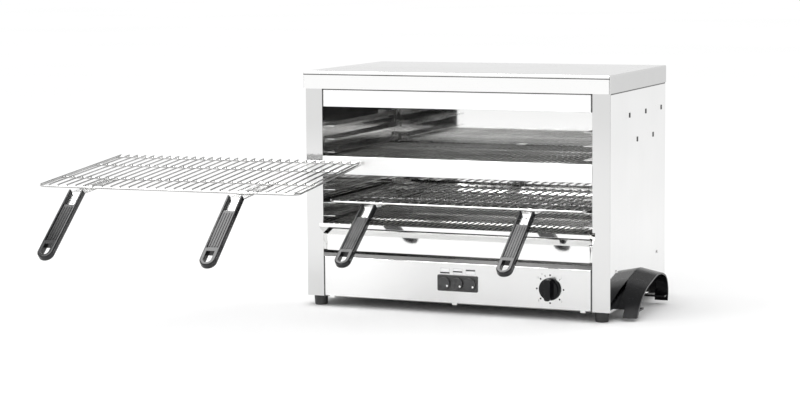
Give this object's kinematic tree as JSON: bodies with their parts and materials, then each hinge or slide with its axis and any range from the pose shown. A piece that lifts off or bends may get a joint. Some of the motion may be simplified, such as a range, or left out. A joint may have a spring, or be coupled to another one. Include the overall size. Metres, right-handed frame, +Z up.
{
  "type": "salamander grill",
  "caption": "Countertop salamander grill with an upper and a lower open cavity, quartz heaters, sliding wire grids with handles, crumb tray, push buttons and timer knob.",
  "frame": {"origin": "centre of the cabinet's footprint, at the level of the counter that the feet stand on", "axes": "+Z up; the open front looks along -Y, so a view along +Y shows it; +X is to the right in that view"},
  "size_m": [1.0981, 0.9344, 0.475],
  "materials": {
    "brushed_stainless": "fine brushed stainless sheet",
    "polished_stainless": "polished mirror-like stainless sheet",
    "plain_stainless": "plain mill finish",
    "bright_steel": "bright",
    "chromed_wire": "bright chromed wire",
    "quartz_glass": "clear to milky quartz",
    "heating_wire": "dull resistance wire",
    "ceramic": "pale ceramic",
    "foot_rubber": "matt",
    "black_plastic": "satin black",
    "grip_plastic": "satin black heat-resistant plastic",
    "wire_sleeve": "woven insulating sleeve"
  },
  "bodies": {
    "cabinet": {"top_cover": "brushed_stainless", "side_panel_left": "brushed_stainless", "side_panel_right": "brushed_stainless", "back_panel": "plain_stainless", "base_plate": "plain_stainless", "control_deck": "plain_stainless", "inner_wall_left": "polished_stainless", "inner_wall_right": "polished_stainless", "rear_reflector": "polished_stainless", "top_reflector": "polished_stainless", "upper_front_panel": "brushed_stainless", "middle_front_strip": "brushed_stainless", "lower_front_panel": "polished_stainless", "control_panel": "brushed_stainless", "runners_left": "bright_steel", "runners_right": "bright_steel", "guard_rails_left": "bright_steel", "guard_rails_right": "bright_steel", "top_guard": "chromed_wire", "upper_floor_guard": "chromed_wire", "lower_ceiling_guard": "chromed_wire", "bottom_guard": "chromed_wire", "guard_clips": "bright_steel", "quartz_tubes_top": "quartz_glass", "quartz_tubes_middle": "quartz_glass", "quartz_tubes_bottom": "quartz_glass", "heating_coils": "heating_wire", "tube_caps_left": "ceramic", "tube_caps_right": "ceramic", "foot_front_left": "foot_rubber", "foot_front_right": "foot_rubber", "foot_rear_left": "foot_rubber", "foot_rear_right": "foot_rubber", "foot_screws": "bright_steel", "panel_screws": "bright_steel", "timer_housing": "black_plastic", "switch_bezel": "black_plastic", "switch_bodies": "black_plastic", "side_arch": "black_plastic", "arch_screws": "bright_steel", "terminal_block": "ceramic", "cable_gland": "black_plastic", "wiring": "wire_sleeve"},
    "lower_grid_set": {"lower_grid": "chromed_wire", "lower_grid_brackets": "chromed_wire", "lower_grid_grip_left": "grip_plastic", "lower_grid_grip_right": "grip_plastic", "lower_grid_rivets": "chromed_wire"},
    "loose_grid_set": {"loose_grid": "chromed_wire", "loose_grid_brackets": "chromed_wire", "loose_grid_grip_left": "grip_plastic", "loose_grid_grip_right": "grip_plastic", "loose_grid_rivets": "chromed_wire"},
    "timer_control": {"timer_knob": "black_plastic", "timer_shaft": "bright_steel"},
    "bottom_button": {"button_bottom": "black_plastic"},
    "middle_button": {"button_middle": "black_plastic"},
    "top_button": {"button_top": "black_plastic"},
    "crumb_drawer": {"crumb_tray": "plain_stainless"}
  },
  "joints": [
    {"name": "lower_grid_slide", "type": "slide", "parent": "cabinet", "child": "lower_grid_set", "axis": [0, -1, 0], "range_m": [0, 0.3]},
    {"name": "loose_grid_slide", "type": "slide", "parent": "cabinet", "child": "loose_grid_set", "axis": [1, 0, 0], "range_m": [0, 0.5]},
    {"name": "timer_turn", "type": "hinge", "parent": "cabinet", "child": "timer_control", "pos_m": [0.198, -0.195, 0.0602], "axis": [0, 1, 0], "range_deg": [0, 300]},
    {"name": "bottom_button_press", "type": "slide", "parent": "cabinet", "child": "bottom_button", "axis": [0, 1, 0], "range_m": [0, 0.003], "stiffness_N_per_m": 400},
    {"name": "middle_button_press", "type": "slide", "parent": "cabinet", "child": "middle_button", "axis": [0, 1, 0], "range_m": [0, 0.003], "stiffness_N_per_m": 400},
    {"name": "top_button_press", "type": "slide", "parent": "cabinet", "child": "top_button", "axis": [0, 1, 0], "range_m": [0, 0.003], "stiffness_N_per_m": 400},
    {"name": "crumb_tray_slide", "type": "slide", "parent": "cabinet", "child": "crumb_drawer", "axis": [0, -1, 0], "range_m": [0, 0.3]}
  ]
}
